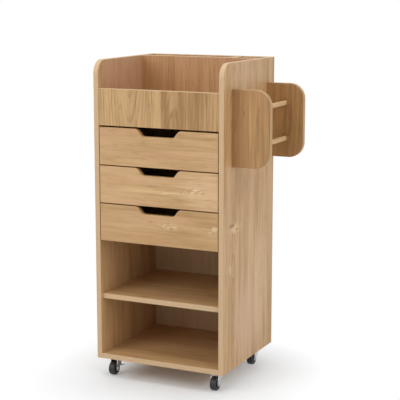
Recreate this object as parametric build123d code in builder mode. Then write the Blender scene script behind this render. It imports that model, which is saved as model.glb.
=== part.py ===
from build123d import *
from math import cos, radians, sin
import os

os.makedirs("parts", exist_ok=True)

# Rolling craft cart, in millimetres. +Z is up from the floor and the front faces -Y.
# X and Y are zero at the middle of the whole cart, with its side rack counted in.

# Cabinet boards
cabinet_width = 400.0
cabinet_depth = 355.0
cabinet_height = 860.0
board = 15.0
top_corner_radius = 38.0
edge_break = 0.8

# Open tray on top, with its heights taken from the underside of the cabinet
tray_floor_height = 679.0
tray_front_height = 103.0
partition_setback = 260.0
divider_offset = 100.0
divider_housing_depth = 4.0
housing_fit = 0.1

# Thin sheet that closes the back, held in grooves
back_sheet = 3.0
back_sheet_inset = 12.0
sheet_groove_depth = 6.0
sheet_fit = 0.15

# Middle shelf on four steel pins
shelf_top_height = 192.0
shelf_recess = 10.0
shelf_gap = 0.5
shelf_pin_radius = 2.5
shelf_pin_depth = 9.0
shelf_pin_reach = 9.0
shelf_pin_place_shares = (0.18, 0.82)

# Small fittings inside the boards have few flat sides, which keeps the model light
fitting_sides = 8
nut_sides = 6

# Cam fittings that pull the panels against the sides
cam_radius = 7.5
cam_sides = 12
cam_depth_share = 0.8
cam_setback = 24.0
cam_slot_width = 8.0
cam_key_width = 2.0
cam_key_depth = 1.9
cam_key_length_share = 0.7
cam_bolt_radius = 3.5
cam_bolt_reach_share = 0.9
cam_thread_radius = 2.5
cam_thread_depth = 11.0
cam_place_shares = (0.28, 0.72)
fastener_fit = 0.05
bolt_hole_fit = 0.5

# Fluted beech dowels at the ends of the upright tray boards
dowel_radius = 4.0
dowel_side_depth = 10.0
dowel_end_depth = 20.0
dowel_end_gap = 0.5
dowel_place_shares = (0.25, 0.75)

# Drawers, counted from the top
drawer_count = 3
drawer_front_height = 106.0
drawer_gap = 3.0
drawer_top_gap = 5.0
drawer_front_gap = 2.0
drawer_board = 12.0
drawer_length = 310.0
drawer_side_height = 80.0
drawer_side_lift = 13.0
drawer_side_gap = 6.0
drawer_front_housing = 6.0
drawer_back_housing = 3.5
drawer_back_inset = 8.0
drawer_sheet = 3.0
drawer_sheet_lift = 10.0
drawer_sheet_groove = 5.0

# Finger cut-out at the middle of each drawer front
finger_top_width = 130.0
finger_bottom_width = 97.0
finger_depth = 20.5
finger_top_radius = 14.0
finger_bottom_radius = 12.0

# Plastic runner strips that fill the grooves in the drawer sides
runner_height = 17.0
runner_clearance = 0.3
runner_groove_depth = 6.0
runner_lift = 40.0
runner_setback = 32.0
runner_tail = 4.0
runner_peg_radius = 2.5
runner_peg_depth = 10.0
runner_peg_inset = 34.0

# Rack on the right side: two plates with two rods between them
rack_reach = 113.0
rack_height = 212.0
rack_lift = 577.5
rack_front_setback = 51.0
rack_rear_inset = 41.5
rack_corner_radius = 44.0
rack_screw_radius = 2.0
rack_screw_head_radius = 4.0
rack_screw_head_height = 2.5
rack_screw_depth = 30.0
rack_screw_place_shares = (0.33, 0.83)
rod_radius = 7.0
rod_offset = 60.0
rod_place_shares = (0.26, 0.74)
rod_clearance = 0.3
cup_wall = 3.0
cup_floor = 2.0
cup_depth = 12.0
cup_lip_share = 0.8

# Swivel casters: stem, bearing cup, fork, wheel and axle
caster_height = 55.0
caster_side_inset = 38.0
caster_end_inset = 47.0
caster_trail = 16.0
insert_radius = 6.0
insert_length = 13.0
stem_radius = 4.0
stem_length = 12.0
stem_collar_height = 4.0
stem_collar_radius = 8.0
stem_head_radius = 6.5
stem_head_height = 1.5
cup_race_radius = 15.0
cup_race_height = 5.0
cup_race_slope = 4.0
race_gap = 0.3
running_fit = 0.05
fork_sheet = 2.0
fork_bend_radius = 2.0
fork_eye_radius = 8.0
fork_pivot_radius = 5.0
wheel_width = 18.0
wheel_top_gap = 3.7
wheel_side_gap = 1.2
wheel_hub_gap = 0.4
wheel_hub_radius = 7.5
wheel_shoulder = 2.0
axle_radius = 3.0
axle_head_radius = 5.0
axle_head_height = 1.8

# Brake pedals, on two of the casters
pedal_width = 19.0
pedal_angle = 43.0
pedal_droop = 64.0
pedal_length = 16.5
pedal_barrel_radius = 4.0
pedal_elbow_radius = 1.8
pedal_toe_droop = 9.0
pedal_toe_length = 19.5
pedal_toe_radius = 1.3
pedal_pin_radius = 2.0
pedal_nose_radius = 1.5
pedal_nose_reach = 4.7
pedal_brake_gap = 0.4

# Places that follow from the sizes above
cabinet_x = -rack_reach / 2
front_y = -cabinet_depth / 2
back_y = cabinet_depth / 2
base_z = caster_height
top_z = base_z + cabinet_height
inner_width = cabinet_width - 2 * board
tray_z = base_z + tray_floor_height
tray_top_z = tray_z + board
partition_y = front_y + partition_setback
back_board_y = back_y - board
sheet_back_y = back_y - back_sheet_inset
sheet_front_y = sheet_back_y - back_sheet
sheet_low_z = base_z + board - sheet_groove_depth
sheet_high_z = tray_z + sheet_groove_depth
shelf_z = base_z + shelf_top_height - board
shelf_back_y = sheet_front_y - shelf_gap
cam_depth = cam_depth_share * board
wheel_radius = (
    caster_height - stem_collar_height - cup_race_height - race_gap - fork_sheet - wheel_top_gap
) / 2
LEFT, RIGHT = -1, 1
FRONT, REAR = -1, 1
SIDES = {LEFT: "left", RIGHT: "right"}
ENDS = {FRONT: "front", REAR: "rear"}


def wall(side):
    """X of the inner face of the left or right side panel."""
    return cabinet_x + side * inner_width / 2


def drawer_z(drawer):
    """Z of the lower edge of one drawer front."""
    return tray_z - drawer_top_gap - (drawer + 1) * drawer_front_height - drawer * drawer_gap


def runner_z(drawer):
    """Z of the middle of one drawer's runners."""
    return drawer_z(drawer) + drawer_side_lift + runner_lift


def front_facing(y):
    """Upright plane at one depth, facing the front, with X to the right and Z up."""
    return Plane(origin=(0, y, 0), x_dir=(1, 0, 0), z_dir=(0, -1, 0))


def block(corner, opposite, mode=Mode.ADD):
    """Add or cut the straight block between two opposite corners."""
    low = [min(pair) for pair in zip(corner, opposite)]
    size = [abs(b - a) for a, b in zip(corner, opposite)]
    with Locations(Vector(*low)):
        Box(*size, align=(Align.MIN, Align.MIN, Align.MIN), mode=mode)


def peg(plane, radius, length, sides=fitting_sides):
    """Add a small flat-sided peg that stands on a plane."""
    with BuildSketch(plane) as section:
        RegularPolygon(radius, sides)
    extrude(section.sketch, amount=length)


def socket(plane, radius, depth, sides=fitting_sides):
    """Cut the blind hole for such a peg, down from a plane that faces out of the board."""
    with BuildSketch(plane) as section:
        RegularPolygon(radius, sides)
    extrude(section.sketch, amount=-depth, mode=Mode.SUBTRACT)


def save(piece, name):
    """Label a finished piece and write it to its own file."""
    piece.part.label = name
    export_step(piece.part, f"parts/{name}.step")


# A joint plane lies where two boards meet, and its normal points into the board that is held.


def side_joints(z, places):
    """Joint planes on both side panels, at one height and several depths."""
    return {
        side: [Plane(origin=(wall(side), y, z), z_dir=(-side, 0, 0)) for y in places] for side in SIDES
    }


def upright_joints(y, low_z, high_z):
    """Joint planes for the dowels at both ends of an upright tray board."""
    heights = [low_z + share * (high_z - low_z) for share in dowel_place_shares]
    return {
        side: [Plane(origin=(wall(side), y, z), z_dir=(-side, 0, 0)) for z in heights] for side in SIDES
    }


cam_places = [front_y + share * cabinet_depth for share in cam_place_shares]
floor_joints = side_joints(tray_z + board / 2, cam_places)
base_joints = side_joints(base_z + board / 2, cam_places)
tray_front_joints = upright_joints(front_y + board / 2, tray_z, tray_z + tray_front_height)
partition_joints = upright_joints(partition_y + board / 2, tray_top_z, top_z)
back_board_joints = upright_joints(back_board_y + board / 2, tray_top_z, top_z)
dowel_sets = (tray_front_joints, partition_joints, back_board_joints)


def facing_out(joint):
    """The same joint plane, turned to face out of the board that is held."""
    return Plane(origin=joint.origin, z_dir=-joint.z_dir)


def cam_centre(joint):
    """Middle of a cam pocket, on the lower face of its panel."""
    return joint.origin + joint.z_dir * cam_setback - Vector(0, 0, board / 2)


def cut_cam_seats(joint_sets):
    """Cut a panel's bolt holes at its ends and its cam pockets from below."""
    for joint in [*joint_sets[LEFT], *joint_sets[RIGHT]]:
        socket(facing_out(joint), cam_bolt_radius + bolt_hole_fit, cam_setback)
        below = Plane(origin=cam_centre(joint), z_dir=(0, 0, -1))
        socket(below, cam_radius + fastener_fit, cam_depth, cam_sides)


def cut_dowel_ends(joint_sets):
    """Cut the dowel holes in both ends of an upright board."""
    for joint in [*joint_sets[LEFT], *joint_sets[RIGHT]]:
        socket(facing_out(joint), dowel_radius, dowel_end_depth)


def break_top(piece):
    """Take the sharpness off the long top edges of a board."""
    chamfer(piece.edges().filter_by(Axis.X).group_by(Axis.Z)[-1], edge_break)


# Shelf pins, runner pegs and rack screws: where they enter the sides
shelf_pin_places = [front_y + share * cabinet_depth for share in shelf_pin_place_shares]
runner_front_y = front_y + runner_setback
runner_back_y = front_y + drawer_length - runner_tail
runner_peg_places = (runner_front_y + runner_peg_inset, runner_back_y - runner_peg_inset)
rack_z = base_z + rack_lift
rack_x = cabinet_x + cabinet_width / 2
rack_plates = {
    "rack_front_plate": front_y + rack_front_setback,
    "rack_rear_plate": back_y - rack_rear_inset - board,
}
rack_screw_planes = [
    Plane(origin=(wall(RIGHT), y + board / 2, rack_z + share * rack_height), z_dir=(-RIGHT, 0, 0))
    for y in rack_plates.values()
    for share in rack_screw_place_shares
]


def make_side_panel(side):
    """One tall side board, with the grooves and blind holes of its inner face."""
    with BuildPart() as panel:
        with BuildSketch(Plane.YZ.offset(min(wall(side), wall(side) + side * board))) as outline:
            with Locations((0, base_z)):
                Rectangle(cabinet_depth, cabinet_height, align=(Align.CENTER, Align.MIN))
            top_front = outline.vertices().group_by(Axis.Y)[-1].sort_by(Axis.X)[0]
            fillet(top_front, top_corner_radius)
        extrude(amount=board)
        chamfer(panel.faces().filter_by(Axis.X).edges(), edge_break)
        block(
            (wall(side), sheet_front_y - sheet_fit, sheet_low_z - sheet_fit),
            (wall(side) + side * sheet_groove_depth, sheet_back_y + sheet_fit, sheet_high_z + sheet_fit),
            mode=Mode.SUBTRACT,
        )
        for joint in [*floor_joints[side], *base_joints[side]]:
            socket(joint, cam_thread_radius + fastener_fit, cam_thread_depth)
        for dowels in dowel_sets:
            for joint in dowels[side]:
                socket(joint, dowel_radius, dowel_side_depth)
        for joint in side_joints(shelf_z - shelf_pin_radius, shelf_pin_places)[side]:
            socket(joint, shelf_pin_radius + fastener_fit, shelf_pin_depth)
        for drawer in range(drawer_count):
            for joint in side_joints(runner_z(drawer), runner_peg_places)[side]:
                socket(joint, runner_peg_radius + fastener_fit, runner_peg_depth)
        if side == RIGHT:
            for joint in rack_screw_planes:
                socket(joint, rack_screw_radius + fastener_fit, board)
                socket(joint, rack_screw_head_radius + fastener_fit, rack_screw_head_height)
    return panel


for side, side_name in SIDES.items():
    save(make_side_panel(side), f"side_panel_{side_name}")

# Tray floor, behind the tray's front board
with BuildPart() as tray_floor:
    block((wall(LEFT), front_y + board, tray_z), (wall(RIGHT), back_y, tray_top_z))
    block(
        (wall(LEFT), sheet_front_y - sheet_fit, tray_z),
        (wall(RIGHT), sheet_back_y + sheet_fit, sheet_high_z + sheet_fit),
        mode=Mode.SUBTRACT,
    )
    cut_cam_seats(floor_joints)
save(tray_floor, "tray_floor")

# Low board across the front of the tray
with BuildPart() as tray_front_board:
    block((wall(LEFT), front_y, tray_z), (wall(RIGHT), front_y + board, tray_z + tray_front_height))
    break_top(tray_front_board)
    cut_dowel_ends(tray_front_joints)
save(tray_front_board, "tray_front_board")

# The partition and the tray's back board, each with a housing for the cross divider
divider_x = cabinet_x + divider_offset
divider_half = board / 2 + housing_fit
with BuildPart() as tray_partition:
    block((wall(LEFT), partition_y, tray_top_z), (wall(RIGHT), partition_y + board, top_z))
    break_top(tray_partition)
    cut_dowel_ends(partition_joints)
    block(
        (divider_x - divider_half, partition_y + board - divider_housing_depth, tray_top_z),
        (divider_x + divider_half, partition_y + board, top_z),
        mode=Mode.SUBTRACT,
    )
save(tray_partition, "tray_partition")

with BuildPart() as tray_back_board:
    block((wall(LEFT), back_board_y, tray_top_z), (wall(RIGHT), back_y, top_z))
    break_top(tray_back_board)
    cut_dowel_ends(back_board_joints)
    block(
        (divider_x - divider_half, back_board_y, tray_top_z),
        (divider_x + divider_half, back_board_y + divider_housing_depth, top_z),
        mode=Mode.SUBTRACT,
    )
save(tray_back_board, "tray_back_board")

# Short cross divider of the tray's rear slot
with BuildPart() as tray_divider:
    block(
        (divider_x - board / 2, partition_y + board - divider_housing_depth + housing_fit, tray_top_z),
        (divider_x + board / 2, back_board_y + divider_housing_depth - housing_fit, top_z),
    )
    chamfer(tray_divider.edges().filter_by(Axis.Y).group_by(Axis.Z)[-1], edge_break)
save(tray_divider, "tray_divider")

# Thin back sheet, let into the sides, the base and the tray floor
with BuildPart() as back_panel:
    block(
        (wall(LEFT) - sheet_groove_depth + sheet_fit, sheet_front_y, sheet_low_z + sheet_fit),
        (wall(RIGHT) + sheet_groove_depth - sheet_fit, sheet_back_y, sheet_high_z - sheet_fit),
    )
save(back_panel, "back_panel")

# Middle shelf, set back a little from the front
with BuildPart() as middle_shelf:
    block(
        (wall(LEFT) + shelf_gap, front_y + shelf_recess, shelf_z),
        (wall(RIGHT) - shelf_gap, shelf_back_y, shelf_z + board),
    )
    chamfer(middle_shelf.edges().filter_by(Axis.X).group_by(Axis.Y)[0], edge_break)
save(middle_shelf, "middle_shelf")

with BuildPart() as shelf_pins:
    for side in SIDES:
        for joint in side_joints(shelf_z - shelf_pin_radius, shelf_pin_places)[side]:
            hole_end = joint.offset(fastener_fit - shelf_pin_depth)
            peg(hole_end, shelf_pin_radius - fastener_fit, shelf_pin_depth + shelf_pin_reach)
save(shelf_pins, "shelf_pins")

# Bottom panel between the sides, with threaded sleeves for the caster stems
caster_places = {
    (end, side): (
        cabinet_x + side * (cabinet_width / 2 - caster_side_inset),
        end * (cabinet_depth / 2 - caster_end_inset),
    )
    for end in ENDS
    for side in SIDES
}
with BuildPart() as bottom_panel:
    block((wall(LEFT), front_y, base_z), (wall(RIGHT), back_y, base_z + board))
    chamfer(bottom_panel.edges().filter_by(Axis.X).group_by(Axis.Y)[0], edge_break)
    block(
        (wall(LEFT), sheet_front_y - sheet_fit, sheet_low_z - sheet_fit),
        (wall(RIGHT), sheet_back_y + sheet_fit, base_z + board),
        mode=Mode.SUBTRACT,
    )
    cut_cam_seats(base_joints)
    for x, y in caster_places.values():
        socket(Plane(origin=(x, y, base_z), z_dir=(0, 0, -1)), insert_radius + fastener_fit, insert_length)
save(bottom_panel, "bottom_panel")

with BuildPart() as insert_nuts:
    for x, y in caster_places.values():
        with BuildSketch(Plane(origin=(x, y, base_z))):
            RegularPolygon(insert_radius, fitting_sides)
            RegularPolygon(stem_radius + fastener_fit, fitting_sides, mode=Mode.SUBTRACT)
        extrude(amount=insert_length)
save(insert_nuts, "insert_nuts")

# Cam bolts, cam locks and dowels, each kind as one group of loose pieces
cam_joints = [*floor_joints[LEFT], *floor_joints[RIGHT], *base_joints[LEFT], *base_joints[RIGHT]]
with BuildPart() as cam_bolts:
    for joint in cam_joints:
        peg(joint.offset(-cam_thread_depth), cam_thread_radius, cam_thread_depth)
        peg(joint, cam_bolt_radius, cam_bolt_reach_share * cam_setback)
save(cam_bolts, "cam_bolts")

with BuildPart() as cam_locks:
    for joint in cam_joints:
        peg(Plane(origin=cam_centre(joint)), cam_radius, cam_depth, cam_sides)
    for joint in cam_joints:
        with BuildSketch(joint.offset(cam_setback)):
            Rectangle(cam_slot_width, cam_slot_width)
        extrude(amount=-cam_setback, mode=Mode.SUBTRACT)
        with BuildSketch(Plane(origin=cam_centre(joint))):
            Rectangle(cam_key_width, 2 * cam_key_length_share * cam_radius)
        extrude(amount=cam_key_depth, mode=Mode.SUBTRACT)
save(cam_locks, "cam_locks")

with BuildPart() as wood_dowels:
    for dowels in dowel_sets:
        for joint in [*dowels[LEFT], *dowels[RIGHT]]:
            hole_end = joint.offset(dowel_end_gap - dowel_side_depth)
            dowel_length = dowel_side_depth + dowel_end_depth - 2 * dowel_end_gap
            peg(hole_end, dowel_radius - fastener_fit, dowel_length)
save(wood_dowels, "wood_dowels")

# Drawer runners: a strip on each side, round at its front end, on two moulded pegs
runner_reach = drawer_side_gap + runner_groove_depth - runner_clearance
for drawer in range(drawer_count):
    with BuildPart() as runners:
        for side in SIDES:
            inner = Plane(origin=(wall(side), 0, 0), x_dir=(0, 1, 0), z_dir=(-side, 0, 0))
            with BuildSketch(inner) as strip:
                up = -side * runner_z(drawer)
                with Locations((runner_front_y, up)):
                    Rectangle(runner_back_y - runner_front_y, runner_height, align=(Align.MIN, Align.CENTER))
                    Circle(runner_height / 2)
            extrude(amount=runner_reach)
            for y in runner_peg_places:
                into_side = Plane(origin=(wall(side), y, runner_z(drawer)), z_dir=(side, 0, 0))
                peg(into_side, runner_peg_radius, runner_peg_depth - fastener_fit)
    save(runners, f"drawer_runners_{drawer + 1}")


# The drawers: boards housed into each other, with a thin sheet as the floor
drawer_half = inner_width / 2 - drawer_side_gap
side_front_y = front_y + board - drawer_front_housing
side_back_y = front_y + drawer_length
drawer_back_y = side_back_y - drawer_back_inset
sheet_half = drawer_half - drawer_board + drawer_sheet_groove


def make_drawer_front(bottom):
    """A drawer front with its finger cut-out, housings for the sides and a groove for the floor."""
    with BuildPart() as front:
        with BuildSketch(front_facing(front_y + board)) as outline:
            with Locations((cabinet_x, bottom)):
                Rectangle(
                    inner_width - 2 * drawer_front_gap,
                    drawer_front_height,
                    align=(Align.CENTER, Align.MIN),
                )
            with Locations((cabinet_x, bottom + drawer_front_height)):
                Polygon(
                    (-finger_top_width / 2, 0),
                    (-finger_bottom_width / 2, -finger_depth),
                    (finger_bottom_width / 2, -finger_depth),
                    (finger_top_width / 2, 0),
                    align=None,
                    mode=Mode.SUBTRACT,
                )
            fillet(outline.vertices().group_by(Axis.Y)[1], finger_bottom_radius)
            fillet(outline.vertices().group_by(Axis.Y)[-1].sort_by(Axis.X)[1:3], finger_top_radius)
        extrude(outline.sketch, amount=board)
        chamfer(front.faces().sort_by(Axis.Y)[0].edges(), edge_break)
        low = bottom + drawer_side_lift
        for side in SIDES:
            outer = cabinet_x + side * (drawer_half + housing_fit)
            block(
                (outer, side_front_y - housing_fit, low - housing_fit),
                (
                    outer - side * (drawer_board + 2 * housing_fit),
                    front_y + board,
                    low + drawer_side_height + housing_fit,
                ),
                mode=Mode.SUBTRACT,
            )
        block(
            (cabinet_x - drawer_half, front_y + board - drawer_sheet_groove, low + drawer_sheet_lift),
            (cabinet_x + drawer_half, front_y + board, low + drawer_sheet_lift + drawer_sheet),
            mode=Mode.SUBTRACT,
        )
    return front


def make_drawer_side(bottom, side):
    """A drawer side with the runner groove outside and the floor and back housed inside."""
    low = bottom + drawer_side_lift
    outer = cabinet_x + side * drawer_half
    inner = outer - side * drawer_board
    with BuildPart() as board_side:
        block((outer, side_front_y, low), (inner, side_back_y, low + drawer_side_height))
        break_edges = board_side.edges().filter_by(Axis.Y).group_by(Axis.Z)[-1]
        chamfer(break_edges, edge_break)
        with BuildSketch(Plane(origin=(outer, 0, 0), x_dir=(0, 1, 0), z_dir=(-side, 0, 0))) as groove:
            with Locations((runner_front_y, -side * (low + runner_lift))):
                Rectangle(
                    side_back_y - runner_front_y,
                    runner_height + 2 * runner_clearance,
                    align=(Align.MIN, Align.CENTER),
                )
                Circle(runner_height / 2 + runner_clearance)
        extrude(groove.sketch, amount=runner_groove_depth, mode=Mode.SUBTRACT)
        block(
            (inner, side_front_y, low + drawer_sheet_lift),
            (inner + side * drawer_sheet_groove, side_back_y, low + drawer_sheet_lift + drawer_sheet),
            mode=Mode.SUBTRACT,
        )
        block(
            (inner, drawer_back_y - drawer_board - housing_fit, low + drawer_sheet_lift + drawer_sheet),
            (
                inner + side * (drawer_back_housing + housing_fit),
                drawer_back_y + housing_fit,
                low + drawer_side_height,
            ),
            mode=Mode.SUBTRACT,
        )
    return board_side


def make_drawer_back(bottom):
    """A drawer back that stands on the floor sheet between the sides."""
    low = bottom + drawer_side_lift
    half = drawer_half - drawer_board + drawer_back_housing
    with BuildPart() as back:
        block(
            (cabinet_x - half, drawer_back_y - drawer_board, low + drawer_sheet_lift + drawer_sheet),
            (cabinet_x + half, drawer_back_y, low + drawer_side_height),
        )
        break_top(back)
    return back


def make_drawer_floor(bottom):
    """A thin drawer floor, held in the grooves of the front and the sides."""
    low = bottom + drawer_side_lift + drawer_sheet_lift
    with BuildPart() as floor:
        block(
            (cabinet_x - sheet_half + sheet_fit, front_y + board - drawer_sheet_groove + sheet_fit, low),
            (cabinet_x + sheet_half - sheet_fit, drawer_back_y, low + drawer_sheet),
        )
    return floor


for drawer in range(drawer_count):
    drawer_name = f"drawer_{drawer + 1}"
    save(make_drawer_front(drawer_z(drawer)), f"{drawer_name}_front")
    for side, side_name in SIDES.items():
        save(make_drawer_side(drawer_z(drawer), side), f"{drawer_name}_{side_name}_side")
    save(make_drawer_back(drawer_z(drawer)), f"{drawer_name}_back")
    save(make_drawer_floor(drawer_z(drawer)), f"{drawer_name}_floor")


# The rack: plates, their screws, the open cups and the rods that lie in them
def make_rack_plate(y):
    """An upright plate that stands out from the right side, round at its outer corners."""
    with BuildPart() as plate:
        with BuildSketch(front_facing(y + board)) as outline:
            with Locations((rack_x, rack_z)):
                Rectangle(rack_reach, rack_height, align=(Align.MIN, Align.MIN))
            fillet(outline.vertices().group_by(Axis.X)[-1], rack_corner_radius)
        extrude(outline.sketch, amount=board)
        rims = plate.faces().filter_by(Axis.Y).edges()
        chamfer(rims.filter_by(lambda edge: edge.center().X > rack_x + edge_break), edge_break)
        for share in rack_screw_place_shares:
            edge = Plane(origin=(rack_x, y + board / 2, rack_z + share * rack_height), z_dir=(-1, 0, 0))
            socket(edge, rack_screw_radius + fastener_fit, rack_screw_depth)
    return plate


for plate_name, y in rack_plates.items():
    save(make_rack_plate(y), plate_name)

with BuildPart() as rack_screws:
    for joint in rack_screw_planes:
        peg(facing_out(joint), rack_screw_head_radius, rack_screw_head_height)
        peg(facing_out(joint), rack_screw_radius, board + rack_screw_depth - fastener_fit)
save(rack_screws, "rack_screws")

rod_x = rack_x + rod_offset
rod_heights = [rack_z + share * rack_height for share in rod_place_shares]
rack_inner_front_y = rack_plates["rack_front_plate"] + board
rack_inner_rear_y = rack_plates["rack_rear_plate"]
cup_bore = rod_radius + rod_clearance
cup_lip = cup_lip_share * rod_radius
with BuildPart() as rod_cups:
    for z in rod_heights:
        for start_y, into in ((rack_inner_front_y, 1), (rack_inner_rear_y, -1)):
            seat = Plane(origin=(rod_x, start_y, z), x_dir=(1, 0, 0), z_dir=(0, into, 0))
            rise = -into * cup_lip
            with BuildSketch(seat):
                Circle(cup_bore + cup_wall)
                with Locations((0, rise / 2)):
                    Rectangle(2 * (cup_bore + cup_wall), cup_lip)
            extrude(amount=cup_floor)
            with BuildSketch(seat.offset(cup_floor)):
                Circle(cup_bore + cup_wall)
                with Locations((0, rise / 2)):
                    Rectangle(2 * (cup_bore + cup_wall), cup_lip)
                Circle(cup_bore, mode=Mode.SUBTRACT)
                with Locations((0, -into * (cup_bore + cup_wall) / 2)):
                    Rectangle(2 * cup_bore, cup_bore + cup_wall, mode=Mode.SUBTRACT)
            extrude(amount=cup_depth - cup_floor)
save(rod_cups, "rod_cups")

rod_names = ("rack_rod_lower", "rack_rod_upper")
rod_end = cup_floor + rod_clearance
for rod_name, z in zip(rod_names, rod_heights):
    with BuildPart() as rod:
        with BuildSketch(Plane(origin=(rod_x, rack_inner_front_y + rod_end, z), z_dir=(0, 1, 0))):
            Circle(rod_radius)
        extrude(amount=rack_inner_rear_y - rack_inner_front_y - 2 * rod_end)
        chamfer(rod.edges(), edge_break)
    save(rod, rod_name)


# The casters. Heights are from the floor, and each wheel trails towards the front of its stem.
cup_race_top_z = base_z - stem_collar_height
cup_race_low_z = cup_race_top_z - cup_race_height
crown_top_z = cup_race_low_z - race_gap
crown_low_z = crown_top_z - fork_sheet
fork_half = wheel_width / 2 + wheel_side_gap
pivot_distance = wheel_radius + pedal_brake_gap + pedal_nose_reach
pivot_y = pivot_distance * cos(radians(pedal_angle)) - caster_trail
pivot_z = wheel_radius + pivot_distance * sin(radians(pedal_angle))


def turned(x, y):
    """Upright plane through a stem's axis, with the distance from the axis to the right and Z up."""
    return Plane(origin=(x, y, 0), x_dir=(1, 0, 0), z_dir=(0, -1, 0))


def sideways(x, y=0, z=0):
    """Upright plane across the axles, at one X, with Y to the right and Z up from a given point."""
    return Plane(origin=(x, y, z), x_dir=(0, 1, 0), z_dir=(1, 0, 0))


with BuildPart() as stem_bolts:
    head_top_z = crown_low_z - race_gap
    for x, y in caster_places.values():
        with BuildSketch(Plane(origin=(x, y, head_top_z))):
            Circle(stem_radius)
        extrude(amount=cup_race_top_z - head_top_z)
        head = Plane(origin=(x, y, head_top_z - stem_head_height))
        peg(head, stem_head_radius, stem_head_height, nut_sides)
        peg(Plane(origin=(x, y, cup_race_top_z)), stem_collar_radius, stem_collar_height, nut_sides)
        peg(Plane(origin=(x, y, base_z)), stem_radius, stem_length)
save(stem_bolts, "stem_bolts")


# Pressed bearing cups between the stems' collars and the forks, each drawn closed with its balls inside
with BuildPart() as caster_cups:
    for x, y in caster_places.values():
        with BuildSketch(turned(x, y)):
            with BuildLine():
                Polyline(
                    (stem_radius + fastener_fit, cup_race_top_z),
                    (cup_race_radius - cup_race_slope, cup_race_top_z),
                    (cup_race_radius, cup_race_low_z),
                    (stem_radius + fastener_fit, cup_race_low_z),
                    close=True,
                )
            make_face()
        revolve(axis=Axis((x, y, 0), (0, 0, 1)))
save(caster_cups, "caster_cups")


def make_fork(x, y, has_brake):
    """Fork bent from one sheet: a crown under the cup and two legs that lean to the axle."""
    outer_half = fork_half + fork_sheet
    with BuildPart() as fork:
        with BuildSketch(sideways(x - outer_half, y)) as leg:
            with BuildLine():
                Line((-cup_race_radius, crown_top_z), (cup_race_radius, crown_top_z))
                CenterArc((-caster_trail, wheel_radius), fork_eye_radius, 0, 360)
                CenterArc((pivot_y, pivot_z), fork_pivot_radius, 0, 360)
            make_hull()
        extrude(leg.sketch, amount=2 * outer_half)
        with BuildSketch(turned(x, y)) as section:
            with Locations((0, crown_top_z)):
                Rectangle(2 * outer_half, crown_top_z, align=(Align.CENTER, Align.MAX))
            fillet(section.vertices().group_by(Axis.Y)[-1], fork_bend_radius + fork_sheet)
            with BuildSketch(mode=Mode.SUBTRACT) as inside:
                with Locations((0, crown_low_z)):
                    Rectangle(2 * fork_half, crown_low_z, align=(Align.CENTER, Align.MAX))
                fillet(inside.vertices().group_by(Axis.Y)[-1], fork_bend_radius)
        extrude(section.sketch, amount=crown_top_z, both=True, mode=Mode.INTERSECT)
        with Locations((x, y, crown_top_z)):
            Hole(stem_radius + running_fit, depth=fork_sheet)
        with Locations(sideways(x + outer_half, y - caster_trail, wheel_radius)):
            Hole(axle_radius + fastener_fit, depth=2 * outer_half)
        if has_brake:
            with Locations(sideways(x + outer_half, y + pivot_y, pivot_z)):
                Hole(pedal_pin_radius + running_fit, depth=2 * outer_half)
    return fork


def axle_plane(x, y):
    """Upright plane through an axle, with X along the axle and Z up."""
    return Plane(origin=(x, y - caster_trail, wheel_radius), x_dir=(1, 0, 0), z_dir=(0, -1, 0))


def make_wheel(x, y):
    """Moulded wheel: a hub that stands proud of its sides and a tread with bevelled shoulders."""
    bore = axle_radius + running_fit
    hub_half = fork_half - wheel_hub_gap
    rim_half = wheel_width / 2
    with BuildPart() as wheel:
        with BuildSketch(axle_plane(x, y)) as half_section:
            with BuildLine():
                Polyline(
                    (0, bore),
                    (hub_half, bore),
                    (hub_half, wheel_hub_radius),
                    (rim_half, wheel_hub_radius),
                    (rim_half, wheel_radius - wheel_shoulder),
                    (rim_half - wheel_shoulder, wheel_radius),
                    (0, wheel_radius),
                    close=True,
                )
            make_face()
            mirror(about=Plane.YZ)
        revolve(half_section.sketch, axis=Axis((x, y - caster_trail, wheel_radius), (1, 0, 0)))
    return wheel


def make_axle(x, y):
    """Axle bolt with its head and its nut outside the legs of the fork."""
    leg_face = fork_half + fork_sheet
    with BuildPart() as axle:
        with BuildSketch(sideways(x - leg_face, y - caster_trail, wheel_radius)) as shank:
            Circle(axle_radius)
        extrude(shank.sketch, amount=2 * leg_face)
        for start in (leg_face, -leg_face - axle_head_height):
            head = sideways(x + start, y - caster_trail, wheel_radius)
            peg(head, axle_head_radius, axle_head_height, nut_sides)
    return axle


def away_from(point, angle, distance):
    """Point at a distance from another, at an angle down from the level line to the rear."""
    turn = radians(angle)
    return (point[0] + distance * cos(turn), point[1] - distance * sin(turn))


def make_pedal(x, y):
    """Brake pedal on its own pin: a lever with a bent toe behind, and a nose that meets the tread."""
    pivot = (pivot_y, pivot_z)
    elbow = away_from(pivot, pedal_droop, pedal_length)
    toe = away_from(elbow, pedal_toe_droop, pedal_toe_length)
    nose = away_from(pivot, 180 - pedal_angle, pedal_nose_reach - pedal_nose_radius)
    barrel_round = (pivot, pedal_barrel_radius)
    elbow_round = (elbow, pedal_elbow_radius)
    toe_round = (toe, pedal_toe_radius)
    nose_round = (nose, pedal_nose_radius)
    with BuildPart() as pedal:
        with BuildSketch(sideways(x - pedal_width / 2, y)) as profile:
            for ends in ((barrel_round, elbow_round), (elbow_round, toe_round), (barrel_round, nose_round)):
                with BuildLine() as rounds:
                    for centre, radius in ends:
                        CenterArc(centre, radius, 0, 360)
                make_hull(rounds.edges())
        extrude(profile.sketch, amount=pedal_width)
        with BuildSketch(sideways(x - fork_half - fork_sheet, y)) as pin:
            with Locations((pivot_y, pivot_z)):
                Circle(pedal_pin_radius)
        extrude(pin.sketch, amount=2 * (fork_half + fork_sheet))
    return pedal


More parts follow.
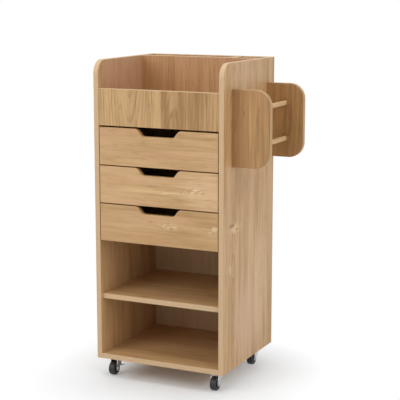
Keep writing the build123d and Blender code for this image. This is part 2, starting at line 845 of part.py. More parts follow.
braked = ((FRONT, LEFT), (REAR, LEFT))
for (end, side), (x, y) in caster_places.items():
    place_name = f"{ENDS[end]}_{SIDES[side]}"
    save(make_fork(x, y, (end, side) in braked), f"caster_fork_{place_name}")
    save(make_wheel(x, y), f"caster_wheel_{place_name}")
    save(make_axle(x, y), f"caster_axle_{place_name}")
    if (end, side) in braked:
        save(make_pedal(x, y), f"brake_pedal_{place_name}")
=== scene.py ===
"""Looks of the rolling craft cart: the finishes of its boards and fittings, and its modelled wheels."""

from math import pi, radians

import bmesh
import bpy
from mathutils import Euler, Matrix, Vector


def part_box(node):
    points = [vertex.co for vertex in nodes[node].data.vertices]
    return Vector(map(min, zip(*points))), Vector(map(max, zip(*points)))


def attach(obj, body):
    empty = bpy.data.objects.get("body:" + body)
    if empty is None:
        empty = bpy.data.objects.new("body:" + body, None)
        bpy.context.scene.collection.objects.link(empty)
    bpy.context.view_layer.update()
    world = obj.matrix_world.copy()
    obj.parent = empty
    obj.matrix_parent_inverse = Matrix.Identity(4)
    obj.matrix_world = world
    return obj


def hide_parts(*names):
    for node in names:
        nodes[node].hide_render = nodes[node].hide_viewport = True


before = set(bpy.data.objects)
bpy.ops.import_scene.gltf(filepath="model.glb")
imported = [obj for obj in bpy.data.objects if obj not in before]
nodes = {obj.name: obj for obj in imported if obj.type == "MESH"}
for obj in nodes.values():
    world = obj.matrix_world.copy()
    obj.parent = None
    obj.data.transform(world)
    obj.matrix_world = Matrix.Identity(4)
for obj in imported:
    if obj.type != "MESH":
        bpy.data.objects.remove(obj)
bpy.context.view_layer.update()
scene = bpy.context.scene
scene.view_settings.view_transform = "Standard"

# Lengths of pieces are in metres, and those of patterns in millimetres
MM = 0.001
MM_PER_M = 1000.0

# The casters, named by the corner of the cart that they carry, the two of them with a brake,
# and the drawers from the top
CORNERS = ("front_left", "front_right", "rear_left", "rear_right")
BRAKED = ("front_left", "rear_left")
DRAWERS = (1, 2, 3)


# Shader helpers


def linear(code):
    """Linear colour of an sRGB hex code such as "#c8a47a"."""
    channels = [int(code[start:start + 2], 16) / 255 for start in (1, 3, 5)]
    return (*[c / 12.92 if c <= 0.04045 else ((c + 0.055) / 1.055) ** 2.4 for c in channels], 1.0)


def add(tree, kind, feeds, **settings):
    """Add a shader node: settings are its properties, and feeds its inputs, values or outputs to link."""
    node = tree.nodes.new("ShaderNode" + kind)
    for name, value in settings.items():
        setattr(node, name, value)
    for socket, value in feeds.items():
        if isinstance(value, bpy.types.NodeSocket):
            tree.links.new(value, node.inputs[socket])
        else:
            node.inputs[socket].default_value = value
    return node.outputs


def start_material(name, **sockets):
    """New material with its Principled shader, and values that are the same all over set on its sockets."""
    material = bpy.data.materials.new(name)
    material.use_nodes = True
    shader = material.node_tree.nodes["Principled BSDF"]
    for socket, value in sockets.items():
        shader.inputs[socket].default_value = value
    return material, material.node_tree, shader


def feed(tree, output, shader, socket):
    """Link an output to one of the shader's sockets."""
    tree.links.new(output, shader.inputs[socket])


# Oak print. A pattern is laid out in millimetres from the middle of its board, along the cart's own axes.
# It is turned so that the grain runs along Z
TURN_TO_Z = {"X": (0, -pi / 2, 0), "Y": (pi / 2, 0, 0), "Z": (0, 0, 0)}

# Colours of the print: pale early wood, dark late wood, pores, a rosy cast, and the plain edge band
OAK = {"light": "#cda878", "dark": "#ad8454", "pore": "#8d6234", "rose": "#cb9f78", "band": "#c5aa89"}
OAK_FIGURED = dict(OAK, light="#cea875", dark="#9a7244", pore="#7d5630", rose="#c69c6c")
# The partition and divider inside the tray take a darker, redder print than the other boards: painted shade
# of the tray's inside.
OAK_TRAY_SHADED = dict(OAK, light="#c59a6c", dark="#a3784c", pore="#855b35", rose="#c0906a")
# The drawer fronts' edge band is painted darker and browner than the other bands: painted shade, which
# darkens the gaps between the drawers.
OAK_DRAWER_SHADED_BAND = dict(OAK, band="#b08650")
OAK_DEEP = {"light": "#b58a58", "dark": "#8f683c", "pore": "#75522e", "rose": "#b08555", "band": "#b79a70"}
FOIL = {"light": "#c9ad86", "dark": "#b99a71", "pore": "#a08059", "rose": "#c4a37e", "band": "#cbb18c"}

# The trimmer leaves the edges of a board a little round, and the press leaves its pores this deep
EDGE_EASE = 1.2
PORE_DEPTH = 0.1

# A patch with a half size above this frays along the streaks, and a smaller one along the pores
LARGE_PATCH = 50.0

# A wave texture whose scale is 1 repeats after this length
WAVE_LENGTH = 2 * pi / 20


def middle_of(node):
    """Middle of a CAD node's box, in metres."""
    low, high = (Vector(corner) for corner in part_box(node))
    return (low + high) / 2


def patch_strength(tree, place, centre, half, most, full_share, fray=0.0):
    """How strongly a patch shows at each point: most up to a share of its half size, and none past it."""
    near = add(tree, "Mapping", {
        "Vector": place, "Location": centre, "Scale": half}, vector_type="TEXTURE")["Vector"]
    away = add(tree, "VectorMath", {0: near}, operation="LENGTH")["Value"]
    frayed = add(tree, "Math", {0: away, 1: fray}, operation="ADD")["Value"]
    return add(tree, "MapRange", {
        "Value": frayed, "From Min": 1.0, "From Max": full_share, "To Max": most},
        interpolation_type="SMOOTHSTEP")["Result"]


def stain(tree, place, colour, fray, patch):
    """Colour with a patch of another tone laid over it, frayed along the grain."""
    centre, half, code, most = patch
    shown = patch_strength(tree, place, centre, half, most, full_share=0.3, fray=fray)
    return add(tree, "Mix", {0: shown, 6: colour, 7: linear(code)}, data_type="RGBA")[2]


def curl(tree, place, colour, cluster):
    """Colour with a faint cluster of flecks laid over it, where grain along X runs round buds."""
    centre, half, most = cluster
    inside = patch_strength(tree, place, centre, half, most, full_share=0.2)
    fleck_length, fleck_height = 13.0, 5.5
    drawn = add(tree, "Mapping", {
        "Vector": place, "Scale": (1 / fleck_length, 1 / fleck_height, 1 / fleck_height)})["Vector"]
    flecks = add(tree, "TexNoise", {
        "Vector": drawn, "Scale": 1.0, "Detail": 1.5, "Distortion": 0.6})["Fac"]
    # Pale flecks where the noise is high, and dark ones where it is low
    for code, faint, full in (("#e4c79a", 0.50, 0.66), ("#9b764c", 0.48, 0.34)):
        shown = add(tree, "MapRange", {"Value": flecks, "From Min": faint, "From Max": full})["Result"]
        share = add(tree, "Math", {0: shown, 1: inside}, operation="MULTIPLY")["Value"]
        colour = add(tree, "Mix", {0: share, 6: colour, 7: linear(code)}, data_type="RGBA")[2]
    return colour


def lay_leaves(tree, across, turn, leaves):
    """Heart, lean and tone of the leaf of veneer at each point across a board, as sockets or values."""
    plans = [
        (tuple(turn @ Vector(heart)), tuple(radians(angle) for angle in (*lean, 0)), tone)
        for _, heart, lean, tone in leaves]
    heart, lean, tone = plans[0]
    for (start, *_), (next_heart, next_lean, next_tone) in zip(leaves[1:], plans[1:]):
        past = add(tree, "Math", {0: across, 1: start}, operation="GREATER_THAN")["Value"]
        heart = add(tree, "Mix", {0: past, 4: heart, 5: next_heart}, data_type="VECTOR")[1]
        lean = add(tree, "Mix", {0: past, 4: lean, 5: next_lean}, data_type="VECTOR")[1]
        tone = add(tree, "Mix", {0: past, 2: tone, 3: next_tone}, data_type="FLOAT")[0]
    return heart, lean, tone


def bend_grain(tree, along, number):
    """Places on the board and in the log, both bent because the grain wanders over a hand's width.

    Each board is cut from another place in the log, by its number.
    """
    log_step = Vector((610.0, 0.0, 930.0))
    in_log = add(tree, "VectorMath", {0: along, 1: number * log_step}, operation="ADD")["Vector"]
    wander_size, wander_length, wander_reach = 80.0, 320.0, 7.0
    slow = add(tree, "Mapping", {
        "Vector": in_log, "Scale": (1 / wander_size, 1 / wander_size, 1 / wander_length)})["Vector"]
    wander = add(tree, "TexNoise", {"Vector": slow, "Scale": 1.0, "Detail": 1.0})["Color"]
    return [
        add(tree, "VectorMath", {
            0: wander, 1: (wander_reach,) * 3, 2: straight}, operation="MULTIPLY_ADD")["Vector"]
        for straight in (along, in_log)]


def draw_marks(tree, in_log, streak_width):
    """Noise of the broad casts, the streaks and the pores, drawn out along the grain.

    The pores are finer on the real print and drawn wider here to show.
    """
    layers = {}
    for layer, width, stretch, detail in (
            ("casts", 40.0, 9.0, 2.0), ("streaks", streak_width, 26.0, 3.0), ("pores", 4.4, 10.0, 1.0)):
        drawn = add(tree, "Mapping", {
            "Vector": in_log, "Scale": (1 / width, 1 / width, 1 / (width * stretch))})["Vector"]
        layers[layer] = add(tree, "TexNoise", {
            "Vector": drawn, "Scale": 1.0, "Detail": detail, "Roughness": 0.6})
    casts = add(tree, "SeparateColor", {"Color": layers["casts"]["Color"]})
    return casts, layers["streaks"]["Fac"], layers["pores"]["Fac"]


def band_edges(tree, normal, thickness, wood, banding):
    """Colour of the wood on a board's two faces, and of the edge band on all its other surfaces."""
    facing = add(tree, "SeparateXYZ", {"Vector": normal})[thickness]
    flat = add(tree, "Math", {0: facing}, operation="ABSOLUTE")["Value"]
    flat_enough = 0.8
    is_face = add(tree, "Math", {0: flat, 1: flat_enough}, operation="GREATER_THAN")["Value"]
    return add(tree, "Mix", {0: is_face, 6: banding, 7: wood}, data_type="RGBA")[2]


def press_surface(tree, shader, tone, pores):
    """Give a board its satin gloss, which is duller on dark wood, its eased edges and its pressed pores."""
    satin, dull = 0.44, 0.58
    gloss = add(tree, "MapRange", {"Value": tone, "To Min": satin, "To Max": dull})["Result"]
    feed(tree, gloss, shader, "Roughness")
    eased_edges = add(tree, "Bevel", {"Radius": EDGE_EASE * MM}, samples=4)["Normal"]
    pressed = add(tree, "Bump", {
        "Height": pores, "Strength": 0.6, "Distance": PORE_DEPTH * MM, "Normal": eased_edges},
        invert=True)["Normal"]
    feed(tree, pressed, shader, "Normal")


def wood_print(
        name, node, number, grain, thickness, leaves, palette=OAK, ring=9.0, figure=0.3, streak=0.55,
        streak_width=7.5, patches=(), curls=()):
    """Oak-grain melamine laminate on particle board, pressed smooth and edged with a plain band.

    It gives the eye soft streaks along the board, arches where a leaf of veneer passes the heart of its
    tree, short dark pores, a satin gloss, and paler plain edges. The number sets boards apart.
    """
    material, tree, shader = start_material(name, IOR=1.5)
    coordinates = add(tree, "TexCoord", {})
    place = add(tree, "Mapping", {
        "Vector": coordinates["Object"], "Location": middle_of(node), "Scale": (MM,) * 3},
        vector_type="TEXTURE")["Vector"]
    along = add(tree, "Mapping", {"Vector": place, "Rotation": TURN_TO_Z[grain]})["Vector"]
    across_axis = ({"X", "Y", "Z"} - {grain, thickness}).pop()
    across = add(tree, "SeparateXYZ", {"Vector": place})[across_axis]
    turn = Euler(TURN_TO_Z[grain]).to_matrix()
    heart, lean, leaf_tone = lay_leaves(tree, across, turn, leaves)
    on_board, in_log = bend_grain(tree, along, number)
    casts, streaks, dashes = draw_marks(tree, in_log, streak_width)

    # Growth rings about the heart of the tree
    ringed = add(tree, "Mapping", {
        "Vector": on_board, "Location": heart, "Rotation": lean}, vector_type="TEXTURE")["Vector"]
    rings = add(tree, "TexWave", {
        "Vector": ringed, "Scale": WAVE_LENGTH / ring, "Distortion": 0.9, "Detail": 2.0,
        "Detail Scale": 0.5}, wave_type="RINGS", rings_direction="Z", wave_profile="SAW")["Fac"]

    # What the rings and marks give: the range of each that counts, and the range that this is brought to
    gives = {}
    for effect, source, low, high, least, most in (
            ("late_wood", rings, 0.52, 0.98, 0.0, figure),
            ("late_wood_share", casts["Blue"], 0.38, 0.58, 0.25, 1.0),
            ("streak_tone", streaks, 0.3, 0.7, -0.5 * streak, 0.5 * streak),
            ("band_tone", casts["Red"], 0.3, 0.7, 0.12, 0.56),
            ("pores", dashes, 0.54, 0.74, 0.0, 0.34),
            ("pore_share", casts["Red"], 0.35, 0.6, 0.3, 1.0),
            ("blush", casts["Green"], 0.48, 0.64, 0.0, 0.5),
            ("short_fray", dashes, 0.2, 0.8, -0.8, 0.8),
            ("long_fray", streaks, 0.2, 0.8, -0.3, 0.3)):
        gives[effect] = add(tree, "MapRange", {
            "Value": source, "From Min": low, "From Max": high, "To Min": least, "To Max": most},
            interpolation_type="SMOOTHSTEP")["Result"]
    late_wood, pores = (
        add(tree, "Math", {0: gives[marks], 1: gives[share]}, operation="MULTIPLY")["Value"]
        for marks, share in (("late_wood", "late_wood_share"), ("pores", "pore_share")))
    tone = leaf_tone
    for part in (late_wood, gives["streak_tone"], gives["band_tone"]):
        tone = add(tree, "Math", {0: tone, 1: part}, operation="ADD")["Value"]

    # Pale early wood to dark late wood, then the rosy cast, the patches, the curls and the pores
    light, dark, pore, rose, band = (
        linear(palette[part]) for part in ("light", "dark", "pore", "rose", "band"))
    wood = add(tree, "Mix", {0: tone, 6: light, 7: dark}, data_type="RGBA")[2]
    wood = add(tree, "Mix", {0: gives["blush"], 6: wood, 7: rose}, data_type="RGBA")[2]
    for patch in patches:
        is_large = max(patch[1]) > LARGE_PATCH
        wood = stain(tree, place, wood, gives["long_fray" if is_large else "short_fray"], patch)
    for cluster in curls:
        wood = curl(tree, place, wood, cluster)
    wood = add(tree, "Mix", {0: pores, 6: wood, 7: pore}, data_type="RGBA")[2]

    banding = add(tree, "Mix", {0: streaks, 6: band, 7: light}, data_type="RGBA")[2]
    colour = band_edges(tree, coordinates["Normal"], thickness, wood, banding)
    feed(tree, colour, shader, "Base Color")
    press_surface(tree, shader, tone, pores)
    return material


def zinc(name, light, dark, bright, dull, mark_length):
    """Zinc, plated on pressed steel or die-cast: a pale metal with clouds in its gloss and faint marks.

    The marks of plated sheet are the lines of its rolling, and those of a casting are short grains.
    """
    material, tree, shader = start_material(name, Metallic=1.0)
    place = add(tree, "TexCoord", {})["Object"]
    cloud_size = 6.0
    clouds = add(tree, "TexNoise", {
        "Vector": place, "Scale": MM_PER_M / cloud_size, "Detail": 3.0, "Roughness": 0.6})["Fac"]
    colour = add(tree, "Mix", {0: clouds, 6: linear(light), 7: linear(dark)}, data_type="RGBA")[2]
    feed(tree, colour, shader, "Base Color")
    gloss = add(tree, "MapRange", {"Value": clouds, "To Min": bright, "To Max": dull})["Result"]
    feed(tree, gloss, shader, "Roughness")
    # The marks are finer on the real metal and drawn wider here to show
    mark_width, mark_depth = 0.8, 0.05
    drawn_out = add(tree, "Mapping", {"Vector": place, "Scale": (
        MM_PER_M / mark_width, MM_PER_M / mark_width, MM_PER_M / mark_length)})["Vector"]
    marks = add(tree, "TexNoise", {"Vector": drawn_out, "Scale": 1.0, "Detail": 1.0})["Fac"]
    bump = add(tree, "Bump", {"Height": marks, "Strength": 0.15, "Distance": mark_depth * MM})["Normal"]
    feed(tree, bump, shader, "Normal")
    return material


def moulded(name, light, dark, rough, grit):
    """Moulded plastic or rubber: one colour with faint clouds, and a fine grit that breaks up its gloss.

    The grit is finer on a real moulding and drawn coarser here to show.
    """
    material, tree, shader = start_material(name, IOR=1.49)
    place = add(tree, "TexCoord", {})["Object"]
    cloud_size = 14.0
    clouds = add(tree, "TexNoise", {
        "Vector": place, "Scale": MM_PER_M / cloud_size, "Detail": 4.0, "Roughness": 0.65})["Fac"]
    colour = add(tree, "Mix", {0: clouds, 6: linear(light), 7: linear(dark)}, data_type="RGBA")[2]
    feed(tree, colour, shader, "Base Color")
    grains = add(tree, "TexNoise", {"Vector": place, "Scale": MM_PER_M / grit, "Detail": 2.0})["Fac"]
    spread, grit_depth = 0.1, 0.05
    gloss = add(tree, "MapRange", {
        "Value": grains, "To Min": rough - spread, "To Max": rough + spread})["Result"]
    feed(tree, gloss, shader, "Roughness")
    bump = add(tree, "Bump", {"Height": grains, "Strength": 0.2, "Distance": grit_depth * MM})["Normal"]
    feed(tree, bump, shader, "Normal")
    return material


def beech():
    """Turned and sanded beech: pale, with faint lines along the rod and short brown ray flecks."""
    material, tree, shader = start_material("sanded_beech", IOR=1.5)
    place = add(tree, "TexCoord", {})["Object"]
    line_width, line_length = 3.0, 100.0
    drawn_out = add(tree, "Mapping", {"Vector": place, "Scale": (
        MM_PER_M / line_width, MM_PER_M / line_length, MM_PER_M / line_width)})["Vector"]
    lines = add(tree, "TexNoise", {"Vector": drawn_out, "Scale": 1.0, "Detail": 2.0})["Fac"]
    # The flecks are narrower on real beech and drawn wider here to show
    fleck_width, fleck_length = 1.2, 6.0
    short = add(tree, "Mapping", {"Vector": place, "Scale": (
        MM_PER_M / fleck_width, MM_PER_M / fleck_length, MM_PER_M / fleck_width)})["Vector"]
    specks = add(tree, "TexNoise", {"Vector": short, "Scale": 1.0, "Detail": 0.0})["Fac"]
    flecks = add(tree, "MapRange", {
        "Value": specks, "From Min": 0.62, "From Max": 0.72, "To Max": 0.5})["Result"]
    ground = add(tree, "Mix", {0: lines, 6: linear("#dcbb8d"), 7: linear("#c79f6f")}, data_type="RGBA")[2]
    colour = add(tree, "Mix", {0: flecks, 6: ground, 7: linear("#9c7247")}, data_type="RGBA")[2]
    feed(tree, colour, shader, "Base Color")
    satin, dull = 0.5, 0.65
    gloss = add(tree, "MapRange", {"Value": lines, "To Min": satin, "To Max": dull})["Result"]
    feed(tree, gloss, shader, "Roughness")
    return material


def dress(name, material):
    """Give a CAD node its finish."""
    nodes[name].data.materials.clear()
    nodes[name].data.materials.append(material)


# The boards, by the run of their grain and the axis of their thickness, with their figure in millimetres.
# A leaf of veneer is where it starts across the board, a point on the heart of its tree, the heart's
# lean in degrees and how much darker it is. The first leaf reaches the edge, wherever it is said to start.
# A patch is its centre, half size, colour and strength, and a curl its centre, half size and strength
UPRIGHT = dict(grain="Z", thickness="Y")
SIDE = dict(grain="Z", thickness="X", streak_width=15.0, streak=0.62)
LEVEL = dict(grain="X", thickness="Z")
DRAWER_FRONT = dict(grain="X", thickness="Y", palette=OAK_DRAWER_SHADED_BAND, figure=0.1, streak=0.42)
BOARDS = {
    "side_panel_left": dict(
        SIDE, leaves=[(0, (-60, 40, 0), (2, 2), 0)],
        patches=[((8, 0, 380), (14, 260, 110), "#c89f80", 0.8)]),
    "side_panel_right": dict(
        SIDE, leaves=[(0, (62, -107, 82), (0, 8), 0.05)], figure=0.5,
        patches=[
            ((8, -108, 26), (30, 22, 66), "#9a7449", 0.35),
            ((8, -98, -26), (30, 44, 15), "#dcba8e", 0.9),
            ((8, -122, -17), (30, 22, 6), "#7d5733", 0.8),
            ((8, -88, -30), (30, 14, 4), "#92693f", 0.6),
            ((8, -133, -143), (30, 16, 16), "#dcc09a", 0.5),
            ((8, -20, -300), (30, 110, 170), "#d2ac8c", 0.65),
            ((8, -70, 90), (30, 60, 70), "#a07c52", 0.45),
            ((8, 80, -210), (30, 75, 210), "#d8b68c", 0.6),
            ((8, -50, 385), (30, 120, 70), "#d2b08c", 0.4),
        ]),
    "tray_front_board": dict(
        UPRIGHT, palette=OAK_FIGURED, ring=8.0, figure=0.5, streak=0.4,
        leaves=[
            (-185, (-81, -32, 2), (-7, 0), -0.05),
            (12, (61, -40, 42), (7, 6), 0.42),
            (138, (240, -70, 0), (-1, 0), 0.26),
        ],
        patches=[((-2, -8, 0), (9, 30, 90), "#b8915f", 0.45)]),
    "tray_partition": dict(UPRIGHT, palette=OAK_TRAY_SHADED, leaves=[(0, (100, -70, 20), (-4, 2), 0.1)]),
    "tray_back_board": dict(UPRIGHT, leaves=[(0, (-30, 60, 20), (3, 0), 0.1)]),
    "tray_divider": dict(SIDE, palette=OAK_TRAY_SHADED, leaves=[(0, (50, 0, 20), (2, 3), 0.1)]),
    "tray_floor": dict(LEVEL, leaves=[(0, (50, 20, 50), (2, 2), 0)]),
    "middle_shelf": dict(LEVEL, leaves=[(0, (50, -60, 60), (0, 3), 0)]),
    "bottom_panel": dict(LEVEL, leaves=[(0, (50, -40, 60), (0, 3), 0)]),
    "rack_front_plate": dict(
        UPRIGHT, palette=OAK_DEEP, ring=7.0, figure=0.3, streak=0.6, streak_width=5.5,
        leaves=[(-60, (-4, -50, -18), (4, 2), 0.14), (-2, (30, -60, 0), (1, 0), 0.07)],
        patches=[
            ((-3, -8, 0), (5, 30, 120), "#c49a64", 0.6),
            ((-20, -8, 42), (2.6, 30, 9), "#6b4a2a", 0.5),
        ]),
    "rack_rear_plate": dict(
        UPRIGHT, palette=OAK_DEEP, ring=8.0, figure=0.4, streak=0.7,
        leaves=[(0, (-10, 50, 0), (4, 0), 0.22)]),
    "drawer_1_front": dict(
        DRAWER_FRONT, leaves=[(0, (0, -90, 16), (2, 0), 0.08)],
        patches=[
            ((-67, -8, -14), (18, 30, 2.2), "#94704a", 0.5),
            ((30, -8, -20), (110, 30, 30), "#c99a76", 0.35),
        ]),
    "drawer_2_front": dict(
        DRAWER_FRONT, leaves=[(0, (120, -80, -8), (3, 0), -0.06)],
        patches=[
            ((-37, -8, -6), (110, 30, 12), "#d8b382", 0.6),
            ((40, -8, -12), (34, 30, 4), "#e6c698", 0.85),
            ((150, -8, -4), (100, 30, 110), "#dcb78e", 0.6),
            ((-21, -8, 5), (18, 30, 2.4), "#8f6a42", 0.7),
            ((-140, -8, 14), (60, 30, 30), "#c4946b", 0.3),
        ],
        curls=[((120, -8, -2), (34, 30, 18), 0.95), ((85, -8, -4), (30, 30, 9), 0.5)]),
    "drawer_3_front": dict(
        DRAWER_FRONT, leaves=[(0, (60, -80, -28), (2, 0), 0.18)],
        patches=[
            ((53, -8, 3), (12, 30, 3.5), "#dfc094", 0.75),
            ((172, -8, 10), (16, 30, 6), "#dfc094", 0.7),
            ((-25, -8, 14), (10, 30, 3), "#94704a", 0.45),
            ((20, -8, -36), (220, 30, 15), "#b08452", 0.5),
        ],
        curls=[((165, -8, 4), (32, 30, 18), 0.6), ((34, -8, 4), (42, 30, 15), 0.6)]),
}
for number, (board, print_plan) in enumerate(BOARDS.items()):
    dress(board, wood_print("oak_laminate_" + board, board, number, **print_plan))

# Thin sheets and the inner boards of the drawers carry a paler print
SHEETS = {"back_panel": ("Z", "Y")}
for drawer in DRAWERS:
    SHEETS.update({
        f"drawer_{drawer}_left_side": ("Y", "X"), f"drawer_{drawer}_right_side": ("Y", "X"),
        f"drawer_{drawer}_back": ("X", "Y"), f"drawer_{drawer}_floor": ("X", "Z")})
for number, (sheet, (grain, thickness)) in enumerate(SHEETS.items(), start=len(BOARDS)):
    dress(sheet, wood_print(
        "oak_foil_" + sheet, sheet, number, grain, thickness, [(0, (60, 60, 60), (2, 2), 0)],
        palette=FOIL, ring=14.0, figure=0.2, streak=0.4))

# Fittings, by what they are made of
zinc_plate = zinc("bright_zinc_plate", "#d9dadb", "#b4b7ba", bright=0.22, dull=0.42, mark_length=26.0)
die_cast = zinc("die_cast_zinc", "#b3b5b7", "#96999c", bright=0.45, dull=0.6, mark_length=0.8)
tyre_black = moulded("black_tyre_rubber", "#2a2a28", "#1c1c1b", rough=0.5, grit=0.6)
centre_grey = moulded("grey_polypropylene", "#4c4d4b", "#3c3d3b", rough=0.42, grit=0.7)
runner_white = moulded("off_white_polypropylene", "#e3e0d8", "#d5d1c7", rough=0.5, grit=0.8)
cup_brown = moulded("brown_polypropylene", "#a07a50", "#8d6841", rough=0.5, grit=0.8)
rod_beech = beech()
for name in ("shelf_pins", "cam_bolts", "insert_nuts", "stem_bolts", "rack_screws", "caster_cups"):
    dress(name, zinc_plate)
for corner in CORNERS:
    dress("caster_fork_" + corner, zinc_plate)
    dress("caster_axle_" + corner, zinc_plate)
for corner in BRAKED:
    dress("brake_pedal_" + corner, zinc_plate)
dress("cam_locks", die_cast)
for name in ("wood_dowels", "rack_rod_lower", "rack_rod_upper"):
    dress(name, rod_beech)
dress("rod_cups", cup_brown)
for drawer in DRAWERS:
    dress(f"drawer_runners_{drawer}", runner_white)


# Modelled pieces. Points closer than the weld are one, and an edge that turns by more than the sharp angle
# stays crisp
WELD = 0.005 * MM
SHARP_ANGLE = radians(35)
TURN_STEPS = 56
ROUNDING_STEPS = 6

# Wheels: a tyre on the rim of a moulded centre
RIM_WIDTH_SHARE = 0.92
TYRE_DEPTH = 5.0 * MM
TYRE_ROUNDING = 3.4 * MM
RIM_LIP = 1.2 * MM
WEB_HALF = 3.2 * MM
BOSS_RADIUS = 7.0 * MM
BORE_RADIUS = 3.3 * MM
SPOKES = 6
SPOKE_HALF = 1.1 * MM


def finish_piece(mesh, name, material, body):
    """Close a bmesh, make it an object that rides on a body, and shade its round faces smooth."""
    bmesh.ops.remove_doubles(mesh, verts=mesh.verts, dist=WELD)
    bmesh.ops.recalc_face_normals(mesh, faces=mesh.faces)
    data = bpy.data.meshes.new(name)
    mesh.to_mesh(data)
    mesh.free()
    data.materials.append(material)
    data.shade_smooth()
    data.set_sharp_from_angle(angle=SHARP_ANGLE)
    piece = bpy.data.objects.new(name, data)
    scene.collection.objects.link(piece)
    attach(piece, body)
    return piece


def spin_outline(mesh, outline, centre, round_corners=(), rounding=0.0):
    """Turn a closed outline of points along the axle and out from it, with some corners rounded."""
    corners = [mesh.verts.new(centre + Vector((x, 0, out))) for x, out in outline]
    mesh.faces.new(corners)
    if round_corners:
        bmesh.ops.bevel(
            mesh, geom=[corners[i] for i in round_corners], offset=rounding, affect="VERTICES",
            segments=ROUNDING_STEPS, profile=0.5, material=-1)
    bmesh.ops.delete(mesh, geom=mesh.faces[:], context="FACES_ONLY")
    bmesh.ops.spin(
        mesh, geom=mesh.verts[:] + mesh.edges[:], cent=centre, axis=(1, 0, 0), angle=2 * pi,
        steps=TURN_STEPS, use_merge=True)


def model_wheel(corner):
    """Wheel with a round-shouldered tyre on a moulded centre that has a thin web, spokes and a boss."""
    low, high = (Vector(point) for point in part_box("caster_wheel_" + corner))
    centre = middle_of("caster_wheel_" + corner)
    radius = (high.z - low.z) / 2
    boss = (high.x - low.x) / 2
    rim = boss * RIM_WIDTH_SHARE
    seat = radius - TYRE_DEPTH

    tyre = bmesh.new()
    spin_outline(
        tyre, [(-rim, seat), (-rim, radius), (rim, radius), (rim, seat)], centre,
        round_corners=(1, 2), rounding=TYRE_ROUNDING)
    tyre_piece = finish_piece(tyre, "wheel_tyre_" + corner, tyre_black, "wheel_" + corner)
    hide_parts("caster_wheel_" + corner)

    hub = bmesh.new()
    lip = rim - RIM_LIP
    inner = seat - 2 * RIM_LIP
    spin_outline(hub, [
        (-lip, seat), (lip, seat), (lip, inner), (WEB_HALF, inner - RIM_LIP),
        (WEB_HALF, BOSS_RADIUS), (boss, BOSS_RADIUS - RIM_LIP / 2), (boss, BORE_RADIUS),
        (-boss, BORE_RADIUS), (-boss, BOSS_RADIUS - RIM_LIP / 2), (-WEB_HALF, BOSS_RADIUS),
        (-WEB_HALF, inner - RIM_LIP), (-lip, inner)], centre)
    # Each spoke runs from inside the boss to inside the rim
    spoke_start = BOSS_RADIUS - RIM_LIP / 4
    spoke_end = seat - 3 * RIM_LIP / 4
    spoke_size = (2 * (lip - RIM_LIP), 2 * SPOKE_HALF, spoke_end - spoke_start)
    spoke_middle = (0, 0, (spoke_start + spoke_end) / 2)
    for spoke in range(SPOKES):
        turn = Matrix.Rotation(2 * pi * spoke / SPOKES, 4, "X")
        bmesh.ops.create_cube(hub, size=1.0, matrix=(
            Matrix.Translation(centre) @ turn @ Matrix.Translation(spoke_middle)
            @ Matrix.Diagonal((*spoke_size, 1))))
    finish_piece(hub, "wheel_centre_" + corner, centre_grey, "wheel_" + corner)


for corner in CORNERS:
    model_wheel(corner)


# Stage: a pale floor that keeps the shadow and fades to white, soft lights and the camera
CABINET_MIDDLE = middle_of("bottom_panel")
CART_MIDDLE = Vector((0, 0, 0.45))
FLOOR_RADIUS = 60.0
FLOOR_SIDES = 64
SHADOW_MIDDLE = (CABINET_MIDDLE.x, -0.055, 0.0)
SHADOW_HALF = (0.095, 0.105, 0.0)
FLOOR_FADE_REACH = 0.30
WORLD_AMBIENT = 0.45

# The lamps, by their place and width in metres and their power in watts
LAMPS = {
    "key": ((-1.5, -2.4, 2.0), 1.6, 32),
    "fill": ((2.6, -1.0, 1.4), 1.8, 24),
    "top": ((-0.2, -0.3, 2.8), 1.6, 22),
}

# The camera: its lens and sensor in millimetres, its place, and in degrees its dip below level and its turn
# to the left from straight ahead
LENS = 108.28
SENSOR_WIDTH = 36.0
CAMERA_PLACE = (CABINET_MIDDLE.x + 1.5116, -3.0834, 1.1281)
CAMERA_DIP = 10.271
CAMERA_TURN = 25.435
VIEW_DEPTH = 200.0


def seen_directly(tree):
    """1 for rays that come from the camera, a reflection or a transmission, and 0 for others."""
    path = add(tree, "LightPath", {})
    mirrored = add(tree, "Math", {
        0: path["Is Camera Ray"], 1: path["Is Glossy Ray"]}, operation="ADD")["Value"]
    return add(tree, "Math", {
        0: mirrored, 1: path["Is Transmission Ray"]}, operation="ADD", use_clamp=True)["Value"]


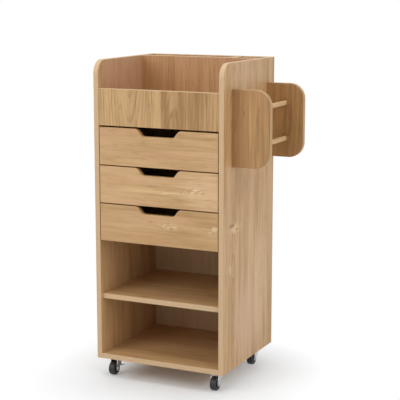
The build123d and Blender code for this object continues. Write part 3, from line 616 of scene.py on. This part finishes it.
def pale_floor():
    """Matt white floor with a faint mottle, which turns to a white glow away from a box about the cart's
    shadow: plain white far off, and painted light that thins the shadow at the cart's sides and back.
    """
    material, tree, shader = start_material("matt_white_floor", Roughness=0.7)
    place = add(tree, "TexCoord", {})["Object"]
    mottle_size = 60.0
    mottle = add(tree, "TexNoise", {"Vector": place, "Scale": MM_PER_M / mottle_size, "Detail": 3.0})["Fac"]
    colour = add(tree, "Mix", {0: mottle, 6: linear("#f1f3f5"), 7: linear("#eceef0")}, data_type="RGBA")[2]
    feed(tree, colour, shader, "Base Color")
    # Painted light: the box is smaller than the cart's footprint, so the white glow already starts under
    # the cart's sides and back and lightens the real shadow there.
    offset = add(tree, "VectorMath", {0: place, 1: SHADOW_MIDDLE}, operation="SUBTRACT")["Vector"]
    either_side = add(tree, "VectorMath", {0: offset}, operation="ABSOLUTE")["Vector"]
    past_edge = add(tree, "VectorMath", {0: either_side, 1: SHADOW_HALF}, operation="SUBTRACT")["Vector"]
    outside = add(tree, "VectorMath", {0: past_edge, 1: (0, 0, 0)}, operation="MAXIMUM")["Vector"]
    away = add(tree, "VectorMath", {0: outside}, operation="LENGTH")["Value"]
    fade = add(tree, "Math", {0: away, 1: FLOOR_FADE_REACH}, operation="DIVIDE", use_clamp=True)["Value"]
    share = add(tree, "Math", {0: fade, 1: seen_directly(tree)}, operation="MULTIPLY")["Value"]
    white = add(tree, "Emission", {"Color": (1, 1, 1, 1), "Strength": 1.0})["Emission"]
    mixed = add(tree, "MixShader", {0: share, 1: shader.outputs["BSDF"], 2: white})["Shader"]
    tree.links.new(mixed, tree.nodes["Material Output"].inputs["Surface"])
    return material


def lay_floor():
    """Round floor under the casters."""
    mesh = bmesh.new()
    bmesh.ops.create_circle(mesh, cap_ends=True, segments=FLOOR_SIDES, radius=FLOOR_RADIUS)
    data = bpy.data.meshes.new("floor")
    mesh.to_mesh(data)
    mesh.free()
    floor = bpy.data.objects.new("floor", data)
    scene.collection.objects.link(floor)
    floor.data.materials.append(pale_floor())


def light_world():
    """White surroundings as they are seen, and a softer even light from them."""
    world = bpy.data.worlds.new("studio")
    scene.world = world
    world.use_nodes = True
    tree = world.node_tree
    strength = add(tree, "MapRange", {
        "Value": seen_directly(tree), "To Min": WORLD_AMBIENT, "To Max": 1.0})["Result"]
    background = tree.nodes["Background"]
    background.inputs["Color"].default_value = (1, 1, 1, 1)
    tree.links.new(strength, background.inputs["Strength"])


def hang_light(name, place, width, power):
    """Soft square lamp that faces the middle of the cart."""
    data = bpy.data.lights.new(name, "AREA")
    data.size = width
    data.energy = power
    lamp = bpy.data.objects.new(name, data)
    scene.collection.objects.link(lamp)
    lamp.location = place
    lamp.rotation_euler = (CART_MIDDLE - Vector(place)).to_track_quat("-Z", "Y").to_euler()


def set_camera():
    """Camera at the photograph's viewing angle, solved from the straight edges of the cabinet."""
    data = bpy.data.cameras.new("camera")
    data.sensor_width = SENSOR_WIDTH
    data.lens = LENS
    data.clip_end = VIEW_DEPTH
    camera = bpy.data.objects.new("camera", data)
    scene.collection.objects.link(camera)
    camera.location = CAMERA_PLACE
    camera.rotation_euler = (radians(90 - CAMERA_DIP), 0, radians(CAMERA_TURN))
    scene.camera = camera


lay_floor()
light_world()
for lamp_name, (place, width, power) in LAMPS.items():
    hang_light(lamp_name, place, width, power)
set_camera()
